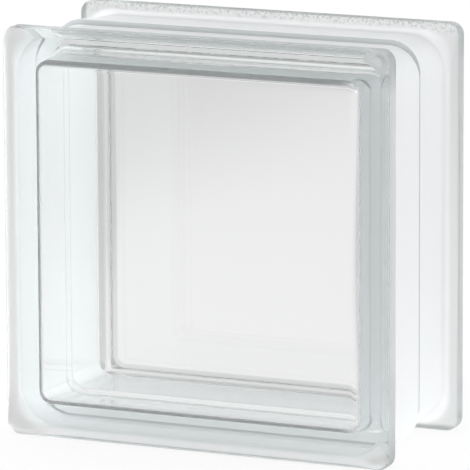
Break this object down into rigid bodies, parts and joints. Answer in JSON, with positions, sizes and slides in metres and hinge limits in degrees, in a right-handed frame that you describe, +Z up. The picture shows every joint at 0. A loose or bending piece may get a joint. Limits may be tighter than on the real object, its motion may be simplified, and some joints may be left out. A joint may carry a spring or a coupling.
{
  "type": "hollow glass block",
  "caption": "Clear hollow glass block for walls: two square pressed dishes fused face to face, with a sealed cavity and a mortar groove round the edges.",
  "frame": {"origin": "on the floor, under the middle of the block, which stands on its edge", "axes": "+X across the block, +Y from the front face to the back face, +Z up"},
  "size_m": [0.19, 0.095, 0.19],
  "materials": {
    "glass": "clear pressed soda-lime glass, fire-polished"
  },
  "bodies": {
    "root": {"front_half": "glass", "back_half": "glass"}
  },
  "joints": []
}
